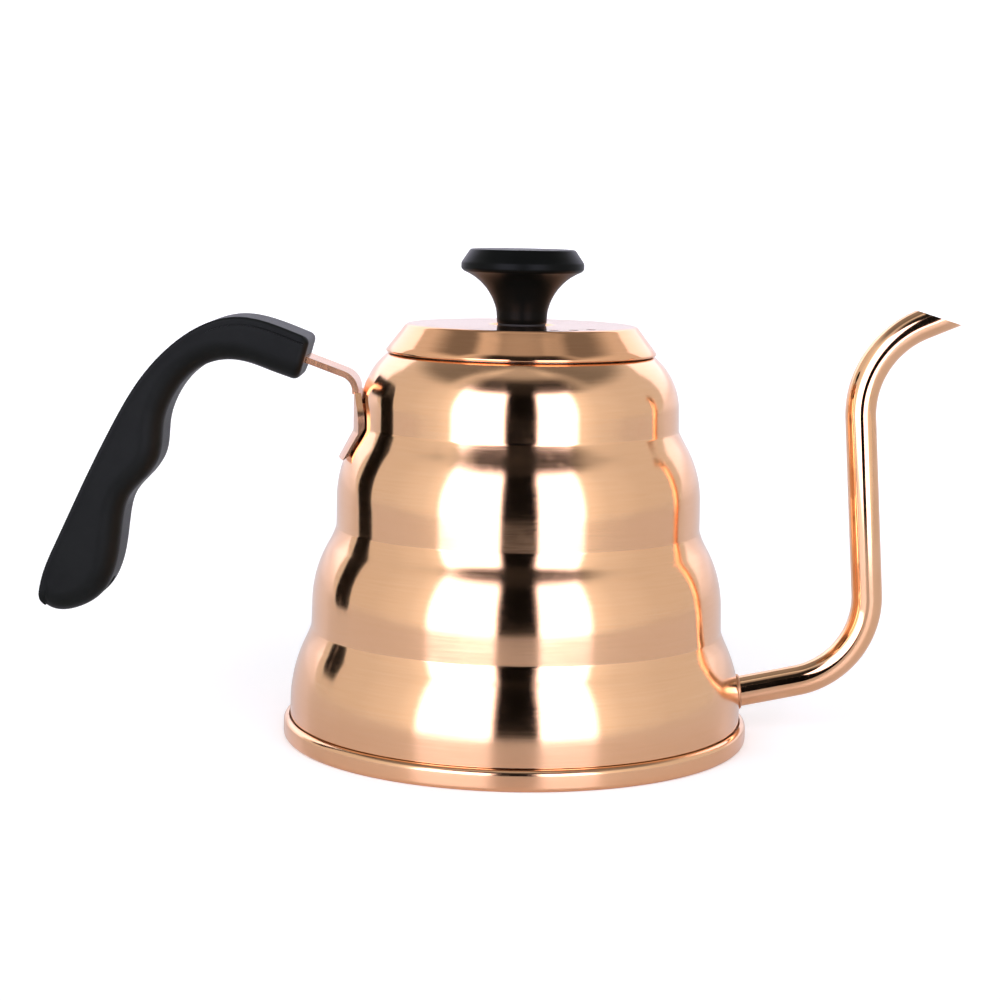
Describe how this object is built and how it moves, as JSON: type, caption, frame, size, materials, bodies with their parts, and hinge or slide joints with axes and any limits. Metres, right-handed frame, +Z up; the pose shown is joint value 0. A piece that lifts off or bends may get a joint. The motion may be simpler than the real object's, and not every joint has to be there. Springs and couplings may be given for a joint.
{
  "type": "gooseneck kettle",
  "caption": "Stovetop gooseneck kettle with a stepped conical body, slender curved spout, strapped-on open handle and lift-off knobbed lid.",
  "frame": {"origin": "centre of the flat underside of the base, on the surface the kettle stands on", "axes": "+Z up along the body's axis; +X towards the spout, -X towards the handle; +Y to the left when looking along +X"},
  "size_m": [0.2851, 0.146, 0.1529],
  "materials": {
    "body_copper": "copper-coloured plating over stainless sheet, fine brushing round the axis, semi-mirror",
    "base_copper": "copper-coloured plating over stainless sheet, brushed round the axis",
    "spout_copper": "copper-coloured plating over stainless tube, near mirror",
    "bracket_copper": "copper-coloured plating over stainless strap, satin",
    "weld_copper": "plated weld metal, satin",
    "lid_copper": "copper-coloured plating over stainless sheet, near mirror",
    "bare_steel": "stainless sheet, fine brushing round the axis",
    "aluminium_disc": "pressed aluminium, dull",
    "handle_plastic": "black phenolic-type plastic, fine grain, satin",
    "knob_plastic": "black phenolic-type plastic, fine grain, satin",
    "screw_steel": "stainless fasteners",
    "insert_brass": "turned brass",
    "gasket_rubber": "moulded rubber washer"
  },
  "bodies": {
    "kettle": {"body_shell": "body_copper", "base_cap": "base_copper", "heat_spreader": "aluminium_disc", "mouth_collar": "bare_steel", "spout_tube": "spout_copper", "spout_weld": "weld_copper", "handle_bracket": "bracket_copper", "bracket_welds": "weld_copper", "grip": "handle_plastic", "grip_cover": "handle_plastic", "tang_screws": "screw_steel", "tang_nut_bar": "screw_steel", "cover_screw": "screw_steel", "cover_insert": "insert_brass"},
    "lid": {"lid_cover": "lid_copper", "lid_skirt": "bare_steel", "knob": "knob_plastic", "knob_gasket": "gasket_rubber", "knob_insert": "insert_brass", "knob_screw": "screw_steel", "knob_washer": "screw_steel", "knob_lock_washer": "screw_steel"}
  },
  "joints": [
    {"name": "lid_lift", "type": "slide", "parent": "kettle", "child": "lid", "axis": [0, 0, 1], "range_m": [0, 0.08]}
  ]
}
